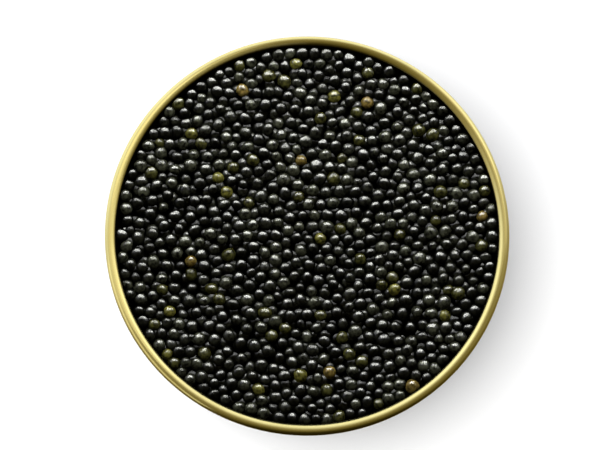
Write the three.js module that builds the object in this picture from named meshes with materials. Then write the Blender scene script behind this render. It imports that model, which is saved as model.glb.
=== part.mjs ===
import * as THREE from 'three';
import { ConvexHull } from 'three/addons/math/ConvexHull.js';

// An open round metal tin, full of sturgeon caviar.
// Millimetres, +Z up, origin at the middle of the base, on the surface that the tin stands on.

// Tin: one piece of drawn sheet, its rim curled outwards
const TIN_D = 84;             // over the curled rim
const TIN_H = 26;
const SHEET = 0.4;
const CURL_R = 1.05;          // outside radius of the curl
const CURL_START = 180;       // degrees, where the wall runs into the curl
const CURL_END = -120;        // degrees, where the sheet's edge stops under the curl
const CORNER_R = 2.5;         // outside radius between wall and base
const FOOT_W = 3.2;           // flat ring that the tin stands on
const PANEL_RISE = 0.9;       // the middle of the base, above the foot ring
const PANEL_SLOPE = 1.2;      // width of the step from foot ring to middle
const TIN_SIDES = 60;

// Caviar: loose grains, pressed level and a little under the rim
const EGG_D = 2.7;
const EGG_SPREAD = 0.1;       // each egg's size differs by up to this share
const LEVEL_DROP = 1.5;       // highest eggs, below the top of the rim
const LEVEL_WAVE = 0.35;      // how far the pressed surface dips
const WAVES = [               // its low waves: length, heading in degrees, and start in radians
  { length: 17, heading: 20, start: 1 },
  { length: 24, heading: 95, start: 2.4 },
  { length: 31, heading: 150, start: 4 },
];
const BED_DEPTH = 8;          // depth in which the eggs are packed one by one
const BED_LAYERS = 3;
const BED_FILL = 0.57;        // share of the bed's volume that is eggs
const VALLEY_DEPTH = 2.2;     // deepest point between two eggs, below the level
const TIN_GAP = 0.3;          // between caviar and tin
const BED_SIDES = 60;
const BED_CORNER = 2;         // bevel at the foot of the caviar

// Settling of the eggs
const SEED = 20;
const SCATTER = 0.8;          // share of their spacing by which loose eggs are scattered at first
const SETTLE_STEPS = 260;
const SETTLE_FALL = 0.03;
const PUSH = 0.45;            // share of an overlap that each egg of a pair gives way
const REGRID_EVERY = 4;

// Relief on each egg
const RING_POINTS = 5;
const RING_REACH = 0.7;       // share of the egg's radius
const VALLEY_CLEAR = 0.65;    // least distance between a valley point and any other point

const TAU = 2 * Math.PI;
const wallR = TIN_D / 2 - 2 * CURL_R + SHEET;
const innerR = wallR - SHEET;
const level = TIN_H - LEVEL_DROP;
const bedR = innerR - TIN_GAP;

function seededRandom(seed) {
  let state = seed;
  return () => {
    state = (state + 0x6d2b79f5) | 0;
    let mixed = Math.imul(state ^ (state >>> 15), 1 | state);
    mixed = (mixed + Math.imul(mixed ^ (mixed >>> 7), 61 | mixed)) ^ mixed;
    return ((mixed ^ (mixed >>> 14)) >>> 0) / 4294967296;
  };
}

// Points of an arc in the profile plane, from one angle in degrees to another
function arc(centreR, centreZ, radius, from, to, steps) {
  const points = [];
  for (let i = 0; i <= steps; i++) {
    const angle = THREE.MathUtils.degToRad(from + (to - from) * i / steps);
    points.push(new THREE.Vector2(centreR + radius * Math.cos(angle), centreZ + radius * Math.sin(angle)));
  }
  return points;
}

// The sheet's section: out along the underside, up the wall, round the curl and back inside
function tinProfile() {
  const curlCentreR = TIN_D / 2 - CURL_R;
  const curlCentreZ = TIN_H - CURL_R;
  const cornerR = wallR - CORNER_R;
  const footR = cornerR - FOOT_W;
  const panelR = footR - PANEL_SLOPE;
  return [
    new THREE.Vector2(0, PANEL_RISE),
    new THREE.Vector2(panelR, PANEL_RISE),
    new THREE.Vector2(footR, 0),
    ...arc(cornerR, CORNER_R, CORNER_R, -90, 0, 3),
    ...arc(curlCentreR, curlCentreZ, CURL_R - SHEET, CURL_START, CURL_END, 5),
    ...arc(curlCentreR, curlCentreZ, CURL_R, CURL_END, CURL_START, 10),
    ...arc(cornerR, CORNER_R, CORNER_R - SHEET, 0, -90, 2),
    new THREE.Vector2(footR, SHEET),
    new THREE.Vector2(panelR, PANEL_RISE + SHEET),
    new THREE.Vector2(0, PANEL_RISE + SHEET),
  ];
}

function makeTin() {
  const geometry = new THREE.LatheGeometry(tinProfile(), TIN_SIDES);
  geometry.rotateX(Math.PI / 2);
  return geometry;
}

// The height that the eggs are pressed down to at a place in plan
function pressedLevel(x, y) {
  let dip = 0;
  for (const { length, heading, start } of WAVES) {
    const turn = THREE.MathUtils.degToRad(heading);
    const along = x * Math.cos(turn) + y * Math.sin(turn);
    dip += (1 - Math.sin(TAU * along / length + start)) / 2;
  }
  return level - LEVEL_WAVE * dip / WAVES.length;
}

// Every pair of eggs near enough to touch, found by sweeping along X
function nearPairs(eggs) {
  const reach = EGG_D * (1 + 2 * EGG_SPREAD);
  const sorted = [...eggs].sort((a, b) => a.x - b.x);
  const pairs = [];
  sorted.forEach((a, index) => {
    for (let next = index + 1; next < sorted.length; next++) {
      const b = sorted[next];
      if (b.x - a.x > reach) break;
      if (Math.hypot(b.x - a.x, b.y - a.y, b.z - a.z) < reach) pairs.push([a, b]);
    }
  });
  return pairs;
}

// Loose eggs before they settle: layers of a triangular lattice, each turned and scattered at random
function looseEggs() {
  const random = seededRandom(SEED);
  const layer = BED_DEPTH / BED_LAYERS;
  const areaPerEgg = Math.PI / 6 * EGG_D ** 3 / (BED_FILL * layer);
  const step = Math.sqrt(2 * areaPerEgg / Math.sqrt(3));
  const reach = 2 * Math.ceil(bedR / step);
  const eggs = [];
  for (let k = 0; k < BED_LAYERS; k++) {
    const turn = TAU * random();
    for (let i = -reach; i <= reach; i++) {
      for (let j = -reach; j <= reach; j++) {
        const u = step * (i + j / 2 + SCATTER * (2 * random() - 1));
        const v = step * (j * Math.sqrt(3) / 2 + SCATTER * (2 * random() - 1));
        const r = EGG_D / 2 * (1 + EGG_SPREAD * (2 * random() - 1));
        const z = level - layer * (k + random());
        if (Math.hypot(u, v) > bedR - r / 4) continue;
        const x = u * Math.cos(turn) - v * Math.sin(turn);
        const y = u * Math.sin(turn) + v * Math.cos(turn);
        eggs.push({ x, y, z, r });
      }
    }
  }
  return eggs;
}

// The eggs fall, push each other aside and are pressed level, until they lie still
function packEggs() {
  const floor = level - BED_DEPTH;
  const eggs = looseEggs();
  let pairs = [];
  for (let step = 0; step < SETTLE_STEPS; step++) {
    if (step % REGRID_EVERY === 0) pairs = nearPairs(eggs);
    for (const egg of eggs) egg.z -= SETTLE_FALL;
    for (const [a, b] of pairs) {
      const dx = b.x - a.x;
      const dy = b.y - a.y;
      const dz = b.z - a.z;
      const distance = Math.sqrt(dx * dx + dy * dy + dz * dz);
      const overlap = a.r + b.r - distance;
      if (overlap <= 0 || distance === 0) continue;
      const share = PUSH * overlap / distance;
      a.x -= dx * share;
      a.y -= dy * share;
      a.z -= dz * share;
      b.x += dx * share;
      b.y += dy * share;
      b.z += dz * share;
    }
    for (const egg of eggs) {
      const off = Math.hypot(egg.x, egg.y);
      const limit = bedR - egg.r;
      if (off > limit) {
        egg.x *= limit / off;
        egg.y *= limit / off;
      }
      const lid = pressedLevel(egg.x, egg.y) - egg.r;
      egg.z = Math.max(floor + egg.r, Math.min(lid, egg.z));
    }
  }
  return eggs;
}

// Height of the highest egg over a place in plan, and which egg it is
function surfaceAt(eggs, x, y) {
  let top = null;
  let z = level - VALLEY_DEPTH;
  for (const egg of eggs) {
    const off = (egg.x - x) ** 2 + (egg.y - y) ** 2;
    if (off >= egg.r ** 2) continue;
    const dome = egg.z + Math.sqrt(egg.r ** 2 - off);
    if (dome > z) {
      z = dome;
      top = egg;
    }
  }
  return { z, top };
}

// Triangles between points in plan: the underside of their hull on a paraboloid
function triangulate(points) {
  const lifted = points.map((p) => new THREE.Vector3(p.x, p.y, (p.x ** 2 + p.y ** 2) / bedR));
  const indexOf = new Map(lifted.map((p, i) => [p, i]));
  const triangles = [];
  for (const face of new ConvexHull().setFromPoints(lifted).faces) {
    if (face.normal.z >= 0) continue;
    const edge = face.edge;
    const corners = [edge, edge.next, edge.next.next].map((e) => indexOf.get(e.head().point));
    triangles.push(corners.reverse());
  }
  return triangles;
}

function circumcentre(a, b, c) {
  const d = 2 * ((b.x - a.x) * (c.y - a.y) - (b.y - a.y) * (c.x - a.x));
  const ab = (b.x - a.x) ** 2 + (b.y - a.y) ** 2;
  const ac = (c.x - a.x) ** 2 + (c.y - a.y) ** 2;
  return {
    x: a.x + ((c.y - a.y) * ab - (b.y - a.y) * ac) / d,
    y: a.y + ((b.x - a.x) * ac - (c.x - a.x) * ab) / d,
  };
}

// The caviar's top: an apex and a ring on every egg that shows, and a point in every hollow between
function reliefPoints(eggs) {
  const random = seededRandom(SEED + 1);
  const upper = eggs.filter((egg) => egg.z > level - VALLEY_DEPTH - EGG_D / 2);
  const shown = upper.filter((egg) => surfaceAt(upper, egg.x, egg.y).top === egg);
  const points = shown.map((egg) => ({ x: egg.x, y: egg.y, z: egg.z + egg.r }));
  for (const egg of shown) {
    const turn = random() * TAU;
    for (let i = 0; i < RING_POINTS; i++) {
      const angle = turn + TAU * i / RING_POINTS;
      const x = egg.x + RING_REACH * egg.r * Math.cos(angle);
      const y = egg.y + RING_REACH * egg.r * Math.sin(angle);
      const { z, top } = surfaceAt(upper, x, y);
      if (top === egg) points.push({ x, y, z });
    }
  }
  for (const [a, b, c] of triangulate(shown)) {
    const { x, y } = circumcentre(shown[a], shown[b], shown[c]);
    if (Math.hypot(x, y) > bedR - VALLEY_CLEAR) continue;
    const crowded = points.some((p) => Math.hypot(p.x - x, p.y - y) < VALLEY_CLEAR);
    if (!crowded) points.push({ x, y, z: surfaceAt(upper, x, y).z });
  }
  return points;
}

// The caviar as one solid: the relief on top, a plain wall, a bevel and a flat underside
function makeCaviar() {
  const relief = reliefPoints(packEggs());
  const bottom = PANEL_RISE + SHEET + TIN_GAP;
  const rims = [
    { r: bedR, z: level - EGG_D / 2 },
    { r: bedR, z: bottom + BED_CORNER },
    { r: bedR - BED_CORNER, z: bottom },
  ];
  const rings = rims.map(({ r, z }) => {
    const ring = [];
    for (let i = 0; i < BED_SIDES; i++) {
      const angle = TAU * i / BED_SIDES;
      ring.push({ x: r * Math.cos(angle), y: r * Math.sin(angle), z });
    }
    return ring;
  });
  const top = [...rings[0], ...relief];
  const points = [...top, ...rings[1], ...rings[2], { x: 0, y: 0, z: bottom }];
  const starts = [0, top.length, top.length + BED_SIDES];
  const centre = points.length - 1;
  const triangles = triangulate(top);
  for (let i = 0; i < BED_SIDES; i++) {
    const j = (i + 1) % BED_SIDES;
    for (let k = 0; k < 2; k++) {
      const [upper, lower] = [starts[k], starts[k + 1]];
      triangles.push([upper + i, lower + i, lower + j], [upper + i, lower + j, upper + j]);
    }
    triangles.push([starts[2] + j, starts[2] + i, centre]);
  }
  const geometry = new THREE.BufferGeometry();
  const positions = points.flatMap((p) => [p.x, p.y, p.z]);
  geometry.setAttribute('position', new THREE.Float32BufferAttribute(positions, 3));
  geometry.setIndex(triangles.flat());
  geometry.computeVertexNormals();
  return geometry;
}

function namedMesh(name, geometry, material) {
  const mesh = new THREE.Mesh(geometry, new THREE.MeshStandardMaterial(material));
  mesh.name = name;
  return mesh;
}

const tinOfCaviar = new THREE.Group();
tinOfCaviar.add(
  namedMesh('tin', makeTin(), { color: 0xd8c47a, roughness: 0.3, metalness: 1 }),
  namedMesh('caviar', makeCaviar(), { color: 0x0d0e0b, roughness: 0.12, metalness: 0 }),
);

export default tinOfCaviar;
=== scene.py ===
import math

import bmesh
import bpy
import numpy as np
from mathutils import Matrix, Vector


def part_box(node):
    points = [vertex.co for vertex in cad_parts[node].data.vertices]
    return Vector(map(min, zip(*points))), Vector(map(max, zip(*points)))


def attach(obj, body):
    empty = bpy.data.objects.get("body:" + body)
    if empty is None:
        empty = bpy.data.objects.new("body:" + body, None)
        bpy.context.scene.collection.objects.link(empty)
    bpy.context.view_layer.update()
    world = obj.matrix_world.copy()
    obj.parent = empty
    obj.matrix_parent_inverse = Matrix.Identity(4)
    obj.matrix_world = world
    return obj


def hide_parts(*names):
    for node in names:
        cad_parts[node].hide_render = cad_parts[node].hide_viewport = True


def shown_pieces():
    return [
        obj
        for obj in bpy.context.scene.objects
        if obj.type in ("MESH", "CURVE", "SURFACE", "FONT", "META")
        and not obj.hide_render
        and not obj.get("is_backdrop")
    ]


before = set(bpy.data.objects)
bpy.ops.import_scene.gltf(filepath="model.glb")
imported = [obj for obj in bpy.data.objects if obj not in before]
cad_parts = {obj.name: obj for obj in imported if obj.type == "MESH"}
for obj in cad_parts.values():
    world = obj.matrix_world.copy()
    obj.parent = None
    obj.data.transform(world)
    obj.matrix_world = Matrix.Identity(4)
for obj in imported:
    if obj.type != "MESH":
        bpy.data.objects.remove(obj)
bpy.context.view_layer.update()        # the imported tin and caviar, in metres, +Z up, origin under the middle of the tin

MM = 0.001
TAU = 2 * math.pi

# The tin, read from the frame and from how such a tin is rolled
_, tin_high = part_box("tin")
TIN_R = tin_high.x
TIN_H = tin_high.z
SHEET = 0.25 * MM
CURL_OUT = 0.95 * MM          # outside radius of the rolled rim, from its crest outwards
CURL_IN = 1.5 * MM            # and from its crest inwards
CURL_JOIN = 95                # degrees, where the inner arc ends, just short of the crest
CURL_END = -150               # degrees, where the sheet's edge stops under the rim
INNER_R = TIN_R - CURL_OUT - CURL_IN
WALL_R = INNER_R + SHEET
CORNER_R = 2.5 * MM
FOOT_WIDTH = 3.2 * MM         # the flat ring that the tin stands on
FOOT_R = WALL_R - CORNER_R - FOOT_WIDTH
PANEL_RISE = 0.9 * MM         # the middle of the base is raised
PANEL_SLOPE = 1.2 * MM
TIN_SIDES = 288
# Painted shade on the lower inner flank of the rim, darkest next to the eggs
SHADE_FREE_DEPTH = 0.45 * MM        # the inner flank has no painted shade above this depth under the rim
SHADE_FULL_DEPTH = 0.8 * MM         # and is painted fully dark below this one: painted shade next to the eggs
SHADE_TILT = 0.0065           # the painted shade reaches higher behind, where the bed of eggs climbs
# the colour of that painted shade
PAINTED_SHADE_COLOUR = (0.05, 0.04, 0.012)
GOLD_DARK = (0.74, 0.63, 0.235)
GOLD_LIGHT = (0.78, 0.67, 0.265)

# The eggs
EGG_R = 1.35 * MM
EGG_SPREAD = 0.1              # share by which eggs differ in size
BED_R = 39.4 * MM             # the eggs reach this far out before they crowd
BED_GAP = 0.3 * MM            # the frame's caviar stops this much short of that
WALL_BITE = 0.8               # eggs at the wall press into this share of the sheet's thickness
PRESSED_R = INNER_R + WALL_BITE * SHEET
CROWD_FROM = 20 * MM          # beyond this radius the eggs crowd outwards, against the wall
CROWD_STEPS = 60
CROWD_STEP = 0.05 * MM        # by up to this much in each step
WALL_SQUEEZE = 0.72           # at the wall they are squeezed to this share of their radius
WALL_STRAY = 0.5              # or stop short of the wall by up to this share more
EGG_LIFT = 0.9 * MM           # the real eggs stand this much above the frame's
EGG_STRAY = 0.22 * MM         # and up or down from there by about this much
STRAY_LIMITS = (-2, 1.6)      # at most this many times as far, downwards and upwards
BACK_LIFT = 0.65 * MM         # the bed climbs this much towards the back wall
DRAWN = 0.97                  # the eggs are drawn at this share of their radius
PRESS = 14                    # how sharp the edge is where an egg is pressed flat
PRESS_LEAST = 0.2 * EGG_R     # no face is pressed nearer to the egg's middle than this
OVAL = 0.12                   # how far an egg is from round, each way
LUMP = 0.04                   # and how high its lumps are
EGG_SIDES = 24
EGG_RINGS = 14
BELOW_SIDES = 18
BELOW_RINGS = 11
UNDER_DEPTH = 2.4 * MM        # the lower eggs start this far below the upper ones
UNDER_DEPTH_STRAY = 0.3       # give or take this share of an egg's radius
UNDER_PLACE_STRAY = 0.35      # and off their lattice by up to this share of its step
UNDER_STEPS = 160
UNDER_RISE = 0.03 * MM        # in each step
NEAR = 0.93                   # eggs are pushed apart until they are this near, as a share of touching
PUSH_BATCH = 200              # eggs that are compared with the others at a time
CORE_DEPTH = 3.2 * MM         # the dark bed under the loose eggs, below their level
CORE_GAP = 0.05 * MM          # and its distance from the tin
CORE_SIDES = 96
WELD = 0.001 * MM             # corners of the frame's mesh nearer than this are one point
TINY = 1e-9                   # a distance that counts as none
SEED = 7

# The kinds of upper eggs: dark and light colour of the mottling, and for the paler kinds how much
# light gets in and how deep each of its colours goes
EGG_KINDS = {
    "jet": ((0.001, 0.001, 0.001), (0.014, 0.0145, 0.01)),
    "black": ((0.001, 0.001, 0.001), (0.036, 0.0375, 0.025)),
    "charcoal": ((0.003, 0.003, 0.002), (0.1, 0.105, 0.066)),
    "moss": ((0.008, 0.008, 0.002), (0.12, 0.118, 0.03), 0.3, (1, 0.9, 0.4)),
    "olive": ((0.035, 0.034, 0.007), (0.33, 0.31, 0.06), 0.4, (1, 0.9, 0.35)),
    "amber": ((0.055, 0.038, 0.007), (0.42, 0.3, 0.075), 0.4, (1, 0.75, 0.25)),
}
RANDOM_KINDS = {"jet": 0.34, "black": 0.36, "charcoal": 0.24, "moss": 0.06}   # the share of each
BELOW_DARK = (0.001, 0.001, 0.001)   # the lower eggs, of two kinds
BELOW_LIGHT = (0.024, 0.025, 0.017)
BELOW_PALER = (0.07, 0.073, 0.05)
LIGHT_DEPTH = 1.2 * MM        # how deep light gets into the paler eggs
WET_LEAST = 0.45              # the film of brine is at least this full

# Paler eggs that stand out in the photograph, in mm right of and behind the tin's middle
AMBER_AT = [
    (-14.2, 31.6), (12.9, 27.0), (-2.3, 16.6), (-25.0, -6.2), (36.0, 5.4), (5.6, -27.6), (21.6, -31.6),
]
OLIVE_AT = [
    (-26.9, -15.5), (-24.0, 21.1), (-18.8, 10.3), (-16.3, 8.6), (-1.9, 36.5), (5.2, 29.5), (1.6, -0.3),
    (27.7, -16.8), (19.3, -12.6), (-0.9, -30.1), (-28.4, -26.3), (-8.0, -33.3),
]
MOSS_AT = [
    (-22.3, 18.5), (-32.1, 18.5), (-12.1, 15.6), (-9.4, 32.3), (-17.1, 14.3), (-3.0, 8.4), (12.7, 34.6),
    (23.5, 22.5), (27.2, 20.4), (10.4, 21.5), (37.0, 10.1), (28.7, 10.7), (-15.5, -4.3), (-23.4, -8.1),
    (29.1, -11.3), (7.5, -22.9), (5.2, -33.1),
]

# The view, as in the photograph: from just in front of straight overhead
CAMERA_ELEVATION = 80.6       # degrees
CAMERA_DISTANCE = 407.4 * MM  # to the middle of the rim
CAMERA_LENS = 118             # on a 36 mm sensor
CAMERA_CLIP = 10 * MM
AIM_LEFT = 1.5 * MM           # the view's middle is left of the tin's
AIM_BACK = 1.43 * MM          # and behind it

# The lights on the eggs: softboxes behind the tin, whose mirror images are the eggs' highlights
BOX_AZIMUTH = -3              # degrees, a little to the left of straight behind
BOX_DISTANCE = 145 * MM       # from the tin's axis
KEY_EDGES = (3, 56)           # elevations of the lower and the upper edge, in degrees
KEY_HALF_WIDTH = 47           # degrees to either side
KEY_RADIANCE = 40
KEY_TINT = (0.99, 1.0, 0.94)
GLINT_RADIANCE = 4.5          # the key again, weaker, not shaded by the eggs
HALO_EDGES = (0, 68)          # a wider and weaker box, not shaded by them either
HALO_HALF_WIDTH = 72
HALO_RADIANCE = 4.6

# The panel that lights the eggs' own colour, and the lamps on the tin's rim:
# middle in mm from the middle of the rim, the way it faces, width and height in mm, and radiance
BODY_LAMP = ("body", (0, 90, 105), (0, -0.6, -1), 160, 100, 3.2)
TIN_LAMPS = [
    ("over_left", (-48, 12, 60), (-1, 0, -1), 56, 80, 0.6),
    ("over_right", (46, 30, 60), (-1, 0, -1), 50, 70, 0.42),
    ("back_left", (-30, 36, 60), (0, 0, -1), 40, 40, 0.6),
    ("back_right", (75, 65, 60), (-1, -1, -1), 60, 60, 0.5),
    ("middle", (0, 15, 50), (-1, 0, 0), 14, 60, 0.25),
    ("front_left", (-53, -34, 12), (0.84, 0.54, -0.8), 64, 20, 0.6),
]

# The floor and its sun, from high on the left
FLOOR_HALF = 4.0              # metres
FLOOR_ALBEDO = 0.8
FLOOR_LIGHT = 1.55            # how bright the sunlit floor is, where 1 is white
SUN_WIDTH = 100               # degrees
SUN_FROM = (-0.47, -0.04, 0.9)

# The world: a gradient over the slope, which grows towards the bright side and towards the horizon
BRIGHT_X = -0.259             # the way to the bright side, 15 degrees to the left of straight behind
BRIGHT_Y = 0.966
HORIZON_GLOW = 0.45
FRONT_GLOW = 0.3              # this much less of it in front
SIDE_GLOW = 0.9               # the slope grows this much with height at the sides
SLOPE_LOW = -0.65
SLOPE_HIGH = 1.35
SLOPE_COLOURS = [
    (0.03, (0.012, 0.009, 0.001)),
    (0.1, (0.042, 0.033, 0.008)),
    (0.2, (0.075, 0.062, 0.02)),
    (0.32, (0.115, 0.098, 0.046)),
    (0.42, (0.16, 0.14, 0.08)),
    (0.54, (0.225, 0.205, 0.145)),
    (0.68, (0.44, 0.43, 0.43)),
    (0.83, (0.7, 0.73, 0.85)),
    (0.95, (0.81, 0.86, 1)),
]
WORLD_IN_GLOSS = 1.6          # its strength in mirror images
WORLD_IN_DULL = 0.3           # and as light on dull surfaces

# The colour sockets of a Mix node, which have no names of their own
MIX_A = 6
MIX_B = 7
MIX_RESULT = 2

rng = np.random.default_rng(SEED)


def look_at(thing, target):
    """Turns a camera or lamp so that it faces a point."""
    thing.rotation_mode = "QUATERNION"
    thing.rotation_quaternion = (Vector(target) - thing.location).to_track_quat("-Z", "Y")


def make_camera():
    data = bpy.data.cameras.new("camera")
    data.lens = CAMERA_LENS
    data.clip_start = CAMERA_CLIP
    camera = bpy.data.objects.new("camera", data)
    bpy.context.scene.collection.objects.link(camera)
    rise = math.radians(CAMERA_ELEVATION)
    away = Vector((0, -math.cos(rise), math.sin(rise)))
    camera.location = Vector((0, 0, TIN_H)) + CAMERA_DISTANCE * away
    look_at(camera, (-AIM_LEFT, AIM_BACK, TIN_H))
    bpy.context.scene.camera = camera


def mesh_from_arrays(name, points, faces, material):
    """A smooth mesh object from arrays of points and of faces that all have the same number of corners."""
    corners = faces.shape[1]
    mesh = bpy.data.meshes.new(name)
    mesh.vertices.add(len(points))
    mesh.vertices.foreach_set("co", points.astype(np.float32).ravel())
    mesh.loops.add(faces.size)
    mesh.loops.foreach_set("vertex_index", faces.astype(np.int32).ravel())
    mesh.polygons.add(len(faces))
    mesh.polygons.foreach_set("loop_start", np.arange(0, faces.size, corners, dtype=np.int32))
    mesh.polygons.foreach_set("use_smooth", np.ones(len(faces), dtype=bool))
    mesh.update(calc_edges=True)
    mesh.validate()
    mesh.materials.append(material)
    piece = bpy.data.objects.new(name, mesh)
    bpy.context.scene.collection.objects.link(piece)
    return piece


class Tree:
    """A node tree, with short calls for adding nodes and joining them."""

    def __init__(self, tree):
        self.tree = tree

    def add(self, kind, **settings):
        node = self.tree.nodes.new("ShaderNode" + kind)
        for key, value in settings.items():
            setattr(node, key, value)
        return node

    def join(self, source, target):
        self.tree.links.new(source, target)

    def math(self, operation, *values):
        """A maths node on numbers or on other nodes' outputs."""
        node = self.add("Math", operation=operation)
        for socket, value in zip(node.inputs, values):
            if isinstance(value, (int, float)):
                socket.default_value = value
            else:
                self.join(value, socket)
        return node.outputs[0]

    def smooth(self, value, low, high, peak, form="SMOOTHSTEP"):
        """A soft step from 0 up to a peak."""
        node = self.add("MapRange", interpolation_type=form)
        for name, number in (("From Min", low), ("From Max", high), ("To Min", 0.0), ("To Max", peak)):
            node.inputs[name].default_value = number
        self.join(value, node.inputs["Value"])
        return node.outputs["Result"]

    def ramp(self, source, stops):
        """A colour ramp on a value; stops are (place, colour) pairs."""
        ramp = self.add("ValToRGB")
        while len(ramp.color_ramp.elements) < len(stops):
            ramp.color_ramp.elements.new(0.5)
        for element, (place, colour) in zip(ramp.color_ramp.elements, stops):
            element.position = place
            element.color = (*colour, 1)
        self.join(source, ramp.inputs["Fac"])
        return ramp.outputs["Color"]


class Skin(Tree):
    """A material on the Principled BSDF."""

    def __init__(self, name):
        self.material = bpy.data.materials.new(name)
        self.material.use_nodes = True
        super().__init__(self.material.node_tree)
        self.shader = self.tree.nodes["Principled BSDF"]

    def set(self, **sockets):
        for key, value in sockets.items():
            self.shader.inputs[key.replace("_", " ")].default_value = value

    def place(self):
        """The object's own coordinates, one by one."""
        parts = self.add("SeparateXYZ")
        self.join(self.add("TexCoord").outputs["Object"], parts.inputs["Vector"])
        return parts.outputs

    def noise(self, scale, detail=2, roughness=0.5):
        """A noise texture on the object's own coordinates, in features per metre."""
        place = self.add("TexCoord")
        noise = self.add("TexNoise")
        noise.inputs["Scale"].default_value = scale
        noise.inputs["Detail"].default_value = detail
        noise.inputs["Roughness"].default_value = roughness
        self.join(place.outputs["Object"], noise.inputs["Vector"])
        return noise.outputs["Fac"]

    def bump(self, height, distance):
        bump = self.add("Bump")
        bump.inputs["Distance"].default_value = distance
        bump.inputs["Strength"].default_value = 1.0
        self.join(height, bump.inputs["Height"])
        self.join(bump.outputs["Normal"], self.shader.inputs["Normal"])


def gold_lacquer():
    """Gold lacquer on tinplate: satin, a little cloudy, spun, with painted shade low on the inside next to
    the eggs.
    """
    skin = Skin("gold_lacquer")
    skin.set(Metallic=1.0, Roughness=0.22, Anisotropic=0.5, Anisotropic_Rotation=0.25)
    tangent = skin.add("Tangent", direction_type="RADIAL", axis="Z")
    skin.join(tangent.outputs["Tangent"], skin.shader.inputs["Tangent"])
    cloud = skin.noise(120, 4)
    colour = skin.ramp(cloud, [(0.3, GOLD_DARK), (0.7, GOLD_LIGHT)])
    x, y, z = skin.place()
    normal = skin.add("SeparateXYZ")
    skin.join(skin.add("NewGeometry").outputs["Normal"], normal.inputs["Vector"])
    across = skin.math("MULTIPLY", x, normal.outputs["X"])
    outward = skin.math("ADD", across, skin.math("MULTIPLY", y, normal.outputs["Y"]))
    outside = skin.math("GREATER_THAN", outward, 0.0)
    # painted shade: the inside of the rim is painted dark below a depth that rises towards the back
    height = skin.math("SUBTRACT", z, skin.math("MULTIPLY", y, SHADE_TILT))
    unshaded = skin.smooth(height, TIN_H - SHADE_FULL_DEPTH, TIN_H - SHADE_FREE_DEPTH, 1.0)
    shade_mix = skin.add("Mix", data_type="RGBA")
    skin.join(skin.math("MAXIMUM", unshaded, outside), shade_mix.inputs["Factor"])
    shade_mix.inputs[MIX_A].default_value = (*PAINTED_SHADE_COLOUR, 1)
    skin.join(colour, shade_mix.inputs[MIX_B])
    skin.join(shade_mix.outputs[MIX_RESULT], skin.shader.inputs["Base Color"])
    skin.bump(skin.noise(2500, 2), 0.004 * MM)
    return skin.material


def egg_skin(name, dark, light, subsurface=0.0, glow=(1, 1, 1)):
    """A wet egg: mottled, under a film of brine. Light passes through the paler kinds."""
    skin = Skin(name)
    skin.set(Roughness=0.35, Specular_IOR_Level=0.0, Coat_Weight=1.0, Coat_Roughness=0.16, Coat_IOR=1.25)
    skin.set(Subsurface_Weight=subsurface, Subsurface_Scale=LIGHT_DEPTH, Subsurface_Radius=glow)
    colour = skin.ramp(skin.noise(1200, 3, 0.6), [(0.36, dark), (0.7, light)])
    skin.join(colour, skin.shader.inputs["Base Color"])
    wet = skin.smooth(skin.noise(420, 1), 0.36, 0.6, 1 - WET_LEAST)
    skin.join(skin.math("ADD", wet, WET_LEAST), skin.shader.inputs["Coat Weight"])
    skin.bump(skin.noise(850, 0), 0.1 * MM)
    return skin.material


def arc(centre_r, centre_z, radius, start, end, steps):
    """Points of an arc in the profile plane, from one angle in degrees to another."""
    angles = np.radians(np.linspace(start, end, steps + 1))
    return [(centre_r + radius * math.cos(a), centre_z + radius * math.sin(a)) for a in angles]


def tin_profile():
    """The sheet's section: out along the underside, up the wall, round the curl and back inside."""
    crest_r = TIN_R - CURL_OUT
    outer = (crest_r, TIN_H - CURL_OUT)
    inner = (crest_r, TIN_H - CURL_IN)
    corner_r = WALL_R - CORNER_R
    panel_r = FOOT_R - PANEL_SLOPE
    return [
        (0, PANEL_RISE),
        (panel_r * 0.5, PANEL_RISE),
        (panel_r, PANEL_RISE),
        (FOOT_R, 0),
        *arc(corner_r, CORNER_R, CORNER_R, -90, 0, 10),
        *arc(*inner, CURL_IN - SHEET, 180, CURL_JOIN, 8),
        *arc(*outer, CURL_OUT - SHEET, 90, CURL_END, 20),
        *arc(*outer, CURL_OUT, CURL_END, 90, 30),
        *arc(*inner, CURL_IN, CURL_JOIN, 180, 12),
        *arc(corner_r, CORNER_R, CORNER_R - SHEET, 0, -90, 8),
        (FOOT_R, SHEET),
        (panel_r, PANEL_RISE + SHEET),
        (0, PANEL_RISE + SHEET),
    ]


def lathe(name, profile, sides, material):
    """A body of revolution about the Z axis; the profile starts and ends on the axis."""
    inner = np.array(profile[1:-1])
    turns = TAU * np.arange(sides) / sides
    rings = np.empty((len(inner), sides, 3))
    rings[..., 0] = inner[:, :1] * np.cos(turns)
    rings[..., 1] = inner[:, :1] * np.sin(turns)
    rings[..., 2] = inner[:, 1:]
    ends = np.array([[0, 0, profile[0][1]], [0, 0, profile[-1][1]]])
    points = np.concatenate([rings.reshape(-1, 3), ends])
    first, last = len(points) - 2, len(points) - 1
    here = np.arange(sides)
    there = (here + 1) % sides
    faces = [np.stack([np.full(sides, first), there, here], 1)]
    for row in range(len(inner) - 1):
        a = row * sides + here
        b = row * sides + there
        c = a + sides
        d = b + sides
        faces.append(np.stack([a, b, d], 1))
        faces.append(np.stack([a, d, c], 1))
    top = (len(inner) - 1) * sides
    faces.append(np.stack([top + here, top + there, np.full(sides, last)], 1))
    return mesh_from_arrays(name, points, np.concatenate(faces), material)


def make_tin():
    tin = lathe("tin_shell", tin_profile(), TIN_SIDES, gold_lacquer())
    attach(tin, "root")
    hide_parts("tin")


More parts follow.
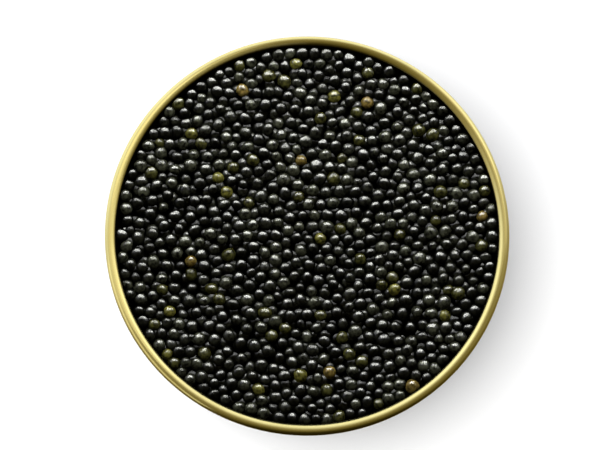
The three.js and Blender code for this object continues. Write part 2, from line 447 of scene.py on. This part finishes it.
def upper_eggs():
    """Centre and radius of each egg on top: a sphere under the peak of each bump of the caviar's solid."""
    mesh = bmesh.new()
    mesh.from_mesh(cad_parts["caviar"].data)
    bmesh.ops.remove_doubles(mesh, verts=mesh.verts, dist=WELD)
    eggs = []
    for vert in mesh.verts:
        around = [edge.other_vert(vert).co for edge in vert.link_edges]
        if any(co.z >= vert.co.z for co in around):
            continue
        fits = []
        for co in around:
            drop = vert.co.z - co.z
            off = (co.xy - vert.co.xy).length
            fits.append((off * off + drop * drop) / (2 * drop))
        radius = float(np.clip(np.median(fits), EGG_R * (1 - EGG_SPREAD), EGG_R * (1 + EGG_SPREAD)))
        eggs.append((*vert.co.xy, vert.co.z - radius, radius))
    mesh.free()
    eggs = np.array(eggs)
    eggs[:, :2] *= BED_R / (BED_R - BED_GAP)
    crowd(eggs)
    eggs[:, 2] += EGG_LIFT + EGG_STRAY * np.clip(rng.normal(size=len(eggs)), *STRAY_LIMITS)
    eggs[:, 2] += BACK_LIFT * np.clip(eggs[:, 1] / BED_R, 0, 1) ** 2
    return eggs


def crowd(eggs):
    """Rolls the outer eggs outwards until they touch the wall or each other."""
    limit = PRESSED_R - eggs[:, 3] * (WALL_SQUEEZE + WALL_STRAY * rng.uniform(size=len(eggs)) ** 2)
    for _ in range(CROWD_STEPS):
        off = np.hypot(eggs[:, 0], eggs[:, 1])
        roll = CROWD_STEP * np.clip((off - CROWD_FROM) / (limit - CROWD_FROM), 0, 1)
        eggs[:, :2] *= (1 + roll / off)[:, None]
        eggs[:, :2] += push_from(eggs, eggs, 0.5)[:, :2]
        off = np.hypot(eggs[:, 0], eggs[:, 1])
        eggs[:, :2] *= np.minimum(1, limit / off)[:, None]


def lower_eggs(upper):
    """Eggs in the gaps under the upper ones: they start on a scattered lattice and rise until held."""
    step = 2 * EGG_R
    reach = int(BED_R / step) * 2
    i, j = np.mgrid[-reach:reach + 1, -reach:reach + 1]
    x = step * (i + j / 2).ravel()
    y = step * (j * math.sqrt(3) / 2).ravel()
    scatter = rng.uniform(-UNDER_PLACE_STRAY, UNDER_PLACE_STRAY, (x.size, 2))
    places = np.stack([x, y], 1) + scatter * step
    places = places[np.hypot(*places.T) < BED_R - EGG_R]
    radius = EGG_R * (1 + EGG_SPREAD * rng.uniform(-1, 1, len(places)))
    level = np.median(upper[:, 2])
    scatter = rng.uniform(-UNDER_DEPTH_STRAY, UNDER_DEPTH_STRAY, len(places))
    height = level - UNDER_DEPTH + scatter * EGG_R
    lower = np.column_stack([places, height, radius])
    for _ in range(UNDER_STEPS):
        lower[:, 2] += UNDER_RISE
        lower[:, :3] += push_from(lower, upper, 1.0)
        lower[:, :3] += push_from(lower, lower, 0.5)
        off = np.hypot(lower[:, 0], lower[:, 1])
        limit = BED_R - lower[:, 3]
        lower[:, :2] *= np.minimum(1, limit / np.maximum(off, TINY))[:, None]
        lower[:, 2] = np.minimum(lower[:, 2], level)
    return lower


def push_from(eggs, others, share):
    """How far each egg is pushed clear of the others that it overlaps."""
    moves = np.zeros((len(eggs), 3))
    for start in range(0, len(eggs), PUSH_BATCH):
        part = eggs[start:start + PUSH_BATCH]
        gap = part[:, None, :3] - others[None, :, :3]
        distance = np.sqrt((gap ** 2).sum(2))
        overlap = NEAR * (part[:, None, 3] + others[None, :, 3]) - distance
        overlap = np.where((distance > TINY) & (overlap > 0), overlap, 0)
        scale = share * overlap / np.maximum(distance, TINY)
        moves[start:start + PUSH_BATCH] = (gap * scale[..., None]).sum(1)
    return moves


def unit_sphere(sides, rings):
    """Points and triangles of a sphere of radius 1."""
    points = [(0, 0, 1)]
    for ring in range(1, rings):
        polar = math.pi * ring / rings
        for side in range(sides):
            turn = TAU * side / sides
            off = math.sin(polar)
            points.append((off * math.cos(turn), off * math.sin(turn), math.cos(polar)))
    points.append((0, 0, -1))
    last = len(points) - 1
    faces = []
    for side in range(sides):
        after = (side + 1) % sides
        faces.append((0, 1 + side, 1 + after))
        for ring in range(rings - 2):
            a = 1 + ring * sides
            b = a + sides
            faces.append((a + side, b + side, b + after))
            faces.append((a + side, b + after, a + after))
        a = 1 + (rings - 2) * sides
        faces.append((a + side, last, a + after))
    return np.array(points), np.array(faces)


def random_turn():
    """A random rotation matrix."""
    matrix, _ = np.linalg.qr(rng.normal(size=(3, 3)))
    return matrix * np.sign(np.linalg.det(matrix))


def lumpy_oval(ways):
    """Distance to the skin of an egg of radius 1, along each of the given directions."""
    axes = random_turn()
    stretch = 1 + rng.uniform(-OVAL, OVAL, 3)
    reach = 1 / np.sqrt((((ways @ axes) / stretch) ** 2).sum(1))
    for order in (2, 3, 4):
        heading = random_turn()[0]
        wave = np.cos(order * np.arccos(np.clip(ways @ heading, -1, 1)))
        reach *= 1 + rng.uniform(0, LUMP) * wave
    return reach


def press(inverse, ways, normal, height):
    """Adds a flat face to a soft egg: its plane stands square to a normal, at a height above the middle."""
    inverse += (np.maximum(ways @ normal, 0) / max(height, PRESS_LEAST)) ** PRESS


def soft_egg(egg, near, points):
    """Points of one egg, pressed flat by its neighbours and by the wall."""
    ways = points @ random_turn()
    middle, radius = egg[:3], egg[3] * DRAWN
    inverse = (lumpy_oval(ways) * radius) ** -PRESS
    for other in near:
        toward = other[:3] - middle
        distance = np.linalg.norm(toward)
        rival = other[3] * DRAWN
        height = (distance ** 2 + radius ** 2 - rival ** 2) / (2 * distance)
        press(inverse, ways, toward / distance, height)
    off = np.hypot(middle[0], middle[1])
    outward = np.array([middle[0], middle[1], 0]) / off
    press(inverse, ways, outward, PRESSED_R - off)
    return middle + ways * (inverse ** (-1 / PRESS))[:, None]


def make_eggs(name, eggs, everyone, material, sides=EGG_SIDES, rings=EGG_RINGS):
    """All the eggs of one kind as one mesh."""
    points, faces = unit_sphere(sides, rings)
    placed = []
    for egg in eggs:
        gap = np.linalg.norm(everyone[:, :3] - egg[:3], axis=1)
        near = everyone[(gap > TINY) & (gap < DRAWN * (egg[3] + everyone[:, 3]))]
        placed.append(soft_egg(egg, near, points))
    joined = (faces[None] + (np.arange(len(eggs)) * len(points))[:, None, None]).reshape(-1, 3)
    piece = mesh_from_arrays(name, np.concatenate(placed), joined, material)
    piece.visible_glossy = False
    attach(piece, "root")
    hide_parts("caviar")


def make_core(level):
    """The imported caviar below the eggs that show: a dark wet bed inside the tin."""
    top = level - CORE_DEPTH
    bottom = PANEL_RISE + SHEET + CORE_GAP
    r = INNER_R - CORE_GAP
    underside = [(0, bottom), (r - CORNER_R, bottom), (r, bottom + CORNER_R)]
    profile = [*underside, (r, top), (r * 0.5, top), (0, top)]
    skin = Skin("caviar_bed")
    skin.set(Base_Color=(0.001, 0.001, 0.001, 1), Roughness=0.6, Specular_IOR_Level=0.0)
    core = lathe("caviar_bed", profile, CORE_SIDES, skin.material)
    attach(core, "root")
    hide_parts("caviar")


def sort_kinds(eggs):
    """Kind of each upper egg: random ones first, then the paler ones that the photograph shows."""
    kinds = rng.choice(list(RANDOM_KINDS), len(eggs), p=list(RANDOM_KINDS.values()))
    for name, places in (("moss", MOSS_AT), ("olive", OLIVE_AT), ("amber", AMBER_AT)):
        for place in places:
            nearest = np.argmin(np.hypot(*(eggs[:, :2] - np.array(place) * MM).T))
            kinds[nearest] = name
    return kinds


def make_caviar():
    upper = upper_eggs()
    lower = lower_eggs(upper)
    everyone = np.concatenate([upper, lower])
    make_core(np.median(upper[:, 2]) + EGG_R)
    kinds = sort_kinds(upper)
    for kind, look in EGG_KINDS.items():
        make_eggs("eggs_" + kind, upper[kinds == kind], everyone, egg_skin("egg_" + kind, *look))
    half = rng.uniform(size=len(lower)) < 0.5
    for name, part, light in (("below", half, BELOW_LIGHT), ("below_paler", ~half, BELOW_PALER)):
        skin = egg_skin("egg_" + name, BELOW_DARK, light)
        make_eggs("eggs_" + name, lower[part], everyone, skin, BELOW_SIDES, BELOW_RINGS)


def area_lamp(name, place, target, width, height, radiance):
    """A rectangular lamp that faces a target and isn't seen by the camera."""
    data = bpy.data.lights.new(name, "AREA")
    data.shape = "RECTANGLE"
    data.size = width
    data.size_y = height
    data.energy = radiance * math.pi * width * height
    lamp = bpy.data.objects.new(name, data)
    bpy.context.scene.collection.objects.link(lamp)
    lamp.location = place
    look_at(lamp, target)
    lamp.visible_camera = False
    return lamp


def softbox(name, edges, half_width, radiance):
    """An upright lamp behind the tin; its edges and half width are angles seen from the rim's middle."""
    bottom, top = (BOX_DISTANCE * math.tan(math.radians(edge)) for edge in edges)
    width = 2 * BOX_DISTANCE * math.tan(math.radians(half_width))
    turn = math.radians(BOX_AZIMUTH)
    height = TIN_H + (top + bottom) / 2
    place = (BOX_DISTANCE * math.sin(turn), BOX_DISTANCE * math.cos(turn), height)
    lamp = area_lamp(name, place, (0, 0, height), width, top - bottom, radiance)
    lamp.visible_diffuse = False
    return lamp


def panel(name, middle, facing, width, height, radiance):
    """A lamp whose middle is given from the rim's middle; it and the lamp's size are in mm."""
    place = Vector((0, 0, TIN_H)) + Vector(middle) * MM
    return area_lamp(name, place, place + Vector(facing), width * MM, height * MM, radiance)


def lit_by(lamp, things, blockers=None):
    """The lamp lights these things alone, and only the blockers cast its shadows."""
    group = bpy.data.collections.new(lamp.name + "_lights")
    for thing in things:
        group.objects.link(thing)
    lamp.light_linking.receiver_collection = group
    if blockers is not None:
        shade = bpy.data.collections.new(lamp.name + "_shadows")
        for thing in blockers:
            shade.objects.link(thing)
        lamp.light_linking.blocker_collection = shade


def make_floor():
    skin = Skin("floor")
    skin.set(Base_Color=(FLOOR_ALBEDO, FLOOR_ALBEDO, FLOOR_ALBEDO, 1))
    skin.set(Roughness=0.9, Specular_IOR_Level=0.1)
    corners = FLOOR_HALF * np.array([(-1, -1, 0), (1, -1, 0), (1, 1, 0), (-1, 1, 0)])
    floor = mesh_from_arrays("floor", corners, np.array([(0, 1, 2, 3)]), skin.material)
    floor.visible_glossy = False
    floor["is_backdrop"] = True
    return floor


def make_world():
    """White to the camera; to everything else a soft gradient, bright behind the tin and dark before it."""
    world = bpy.data.worlds.new("studio")
    bpy.context.scene.world = world
    world.use_nodes = True
    tree = Tree(world.node_tree)
    way = tree.add("SeparateXYZ")
    tree.join(tree.add("TexCoord").outputs["Generated"], way.inputs["Vector"])
    x, y, z = way.outputs
    bright = tree.math("ADD", tree.math("MULTIPLY", y, BRIGHT_Y), tree.math("MULTIPLY", x, BRIGHT_X))
    height = tree.math("ABSOLUTE", z)
    front = tree.math("MULTIPLY", tree.math("MINIMUM", y, 0.0), FRONT_GLOW)
    glow = tree.math("ADD", HORIZON_GLOW, front)
    horizon = tree.math("MULTIPLY", tree.math("SUBTRACT", 1.0, height), glow)
    side = tree.math("MULTIPLY", tree.math("ABSOLUTE", x), tree.math("MULTIPLY", height, SIDE_GLOW))
    slope = tree.math("ADD", tree.math("ADD", bright, horizon), side)
    gradient = tree.ramp(tree.smooth(slope, SLOPE_LOW, SLOPE_HIGH, 1.0, "LINEAR"), SLOPE_COLOURS)
    main = tree.tree.nodes["Background"]
    tree.join(gradient, main.inputs["Color"])
    paths = tree.add("LightPath")
    less = tree.math("MULTIPLY", paths.outputs["Is Diffuse Ray"], WORLD_IN_DULL - WORLD_IN_GLOSS)
    tree.join(tree.math("ADD", less, WORLD_IN_GLOSS), main.inputs["Strength"])
    white = tree.add("Background")
    white.inputs["Color"].default_value = (1, 1, 1, 1)
    seen = tree.add("MixShader")
    tree.join(paths.outputs["Is Camera Ray"], seen.inputs[0])
    tree.join(main.outputs[0], seen.inputs[1])
    tree.join(white.outputs[0], seen.inputs[2])
    tree.join(seen.outputs[0], tree.tree.nodes["World Output"].inputs["Surface"])


def make_lights(floor):
    """The eggs, the tin and the floor are lit apart from each other."""
    caviar = [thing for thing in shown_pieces() if thing.name != "tin_shell"]
    tin = [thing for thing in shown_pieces() if thing.name == "tin_shell"]
    key = softbox("key", KEY_EDGES, KEY_HALF_WIDTH, KEY_RADIANCE)
    key.data.color = KEY_TINT
    lit_by(key, caviar, caviar)
    halo = softbox("halo", HALO_EDGES, HALO_HALF_WIDTH, HALO_RADIANCE)
    lit_by(halo, caviar, [floor])
    glints = softbox("glints", KEY_EDGES, KEY_HALF_WIDTH, GLINT_RADIANCE)
    glints.data.color = KEY_TINT
    lit_by(glints, caviar, [floor])
    for values in TIN_LAMPS:
        lit_by(panel(*values), tin, tin)
    body = panel(*BODY_LAMP)
    body.visible_glossy = False
    lit_by(body, caviar)
    data = bpy.data.lights.new("floor_light", "SUN")
    data.angle = math.radians(SUN_WIDTH)
    data.energy = FLOOR_LIGHT * math.pi / FLOOR_ALBEDO
    sun = bpy.data.objects.new("floor_light", data)
    bpy.context.scene.collection.objects.link(sun)
    sun.location = SUN_FROM
    look_at(sun, (0, 0, 0))
    lit_by(sun, [floor])


make_camera()
make_tin()
make_caviar()
floor = make_floor()
make_world()
make_lights(floor)

scene = bpy.context.scene
scene.view_settings.view_transform = "Standard"
scene.cycles.use_denoising = True
scene.cycles.caustics_reflective = False
